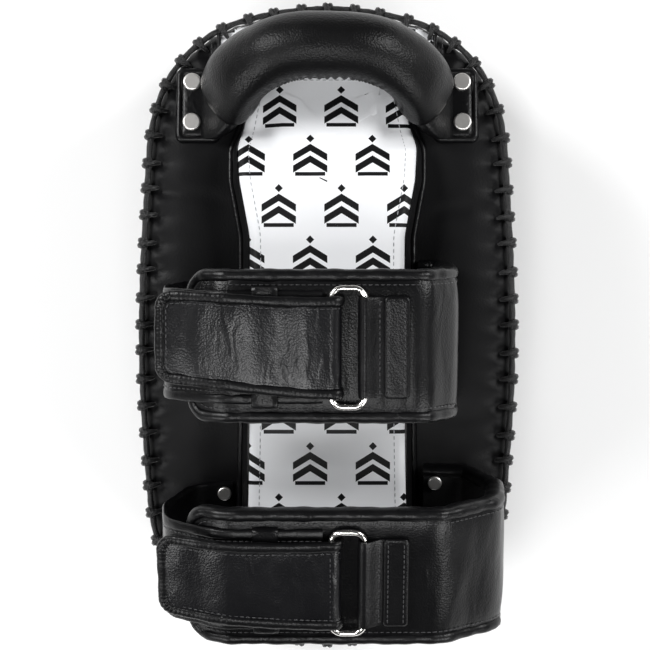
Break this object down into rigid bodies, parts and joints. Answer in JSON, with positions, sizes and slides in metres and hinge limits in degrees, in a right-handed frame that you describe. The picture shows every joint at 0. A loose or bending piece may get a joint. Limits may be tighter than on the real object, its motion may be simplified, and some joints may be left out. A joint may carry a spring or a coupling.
{
  "type": "thai kick pad",
  "caption": "Curved padded arm shield for kick and punch training, with a laced rim, a forearm cushion, a padded hand grip and hook-and-loop arm straps.",
  "frame": {"origin": "centre of the bounding box in plan, on the surface that the strike face rests on", "axes": "+X across the width, +Y along the length toward the hand grip, +Z out of the arm side"},
  "size_m": [0.2168, 0.374, 0.2285],
  "materials": {
    "smooth_leather": "matte",
    "strap_leather": "satin",
    "binding_leather": "satin",
    "printed_leather": "satin",
    "lining": "matte",
    "foam": "matte",
    "lace_cord": "matte",
    "webbing": "matte",
    "hook_loop": "matte",
    "bright_metal": "polished"
  },
  "bodies": {
    "pad": {"arm_cushion_foam": "foam", "arm_cushion_gusset": "smooth_leather", "arm_cushion_top": "printed_leather", "arm_cushion_welt": "binding_leather", "back_panel_center": "smooth_leather", "back_panel_end_lower": "printed_leather", "back_panel_end_upper": "printed_leather", "back_panel_left": "smooth_leather", "back_panel_right": "smooth_leather", "backing_foam": "foam", "core_foam": "foam", "cuff_binding_lower": "binding_leather", "cuff_binding_upper": "binding_leather", "cuff_lining_lower": "lining", "cuff_lining_upper": "lining", "cuff_lower": "strap_leather", "cuff_upper": "strap_leather", "edge_lacing": "lace_cord", "handle_rivet_left_lower": "bright_metal", "handle_rivet_left_upper": "bright_metal", "handle_rivet_right_lower": "bright_metal", "handle_rivet_right_upper": "bright_metal", "handle_tab_left": "strap_leather", "handle_tab_right": "strap_leather", "keeper_lower": "strap_leather", "keeper_upper": "strap_leather", "loop_patch_lower": "hook_loop", "loop_patch_upper": "hook_loop", "ring_patch_lower": "strap_leather", "ring_patch_upper": "strap_leather", "ring_tab_lower": "strap_leather", "ring_tab_upper": "strap_leather", "rivet_lower_left": "bright_metal", "rivet_lower_right": "bright_metal", "rivet_upper_left": "bright_metal", "rivet_upper_right": "bright_metal", "strap_lower": "strap_leather", "strap_upper": "strap_leather", "strike_cover": "smooth_leather", "strike_foam": "foam"},
    "grip": {"grip_core": "webbing", "grip_cover": "smooth_leather", "grip_foam": "foam"},
    "ring_upper": {"ring_upper": "bright_metal"},
    "flap_upper": {"flap_upper": "strap_leather", "flap_binding_upper": "binding_leather", "hook_patch_upper": "hook_loop"},
    "ring_lower": {"ring_lower": "bright_metal"},
    "flap_lower": {"flap_lower": "strap_leather", "flap_binding_lower": "binding_leather", "hook_patch_lower": "hook_loop"}
  },
  "joints": [
    {"name": "grip_rock", "type": "hinge", "parent": "pad", "child": "grip", "pos_m": [0, 0.12827, 0.11417], "axis": [1, 0, 0], "range_deg": [-10, 10], "stiffness_Nm_per_rad": 1.5},
    {"name": "ring_upper_lift", "type": "hinge", "parent": "pad", "child": "ring_upper", "pos_m": [0.0199, -0.01195, 0.22112], "axis": [0, 0.9968, 0.0799], "range_deg": [0, 12]},
    {"name": "flap_upper_open", "type": "hinge", "parent": "ring_upper", "child": "flap_upper", "pos_m": [0.0021, -0.01195, 0.22112], "axis": [0, 0.9968, 0.0799], "range_deg": [0, 140]},
    {"name": "ring_lower_lift", "type": "hinge", "parent": "pad", "child": "ring_lower", "pos_m": [0.0199, -0.13819, 0.19937], "axis": [0, 0.9052, 0.4249], "range_deg": [0, 12]},
    {"name": "flap_lower_open", "type": "hinge", "parent": "ring_lower", "child": "flap_lower", "pos_m": [0.0021, -0.13819, 0.19937], "axis": [0, 0.9052, 0.4249], "range_deg": [0, 140]}
  ]
}
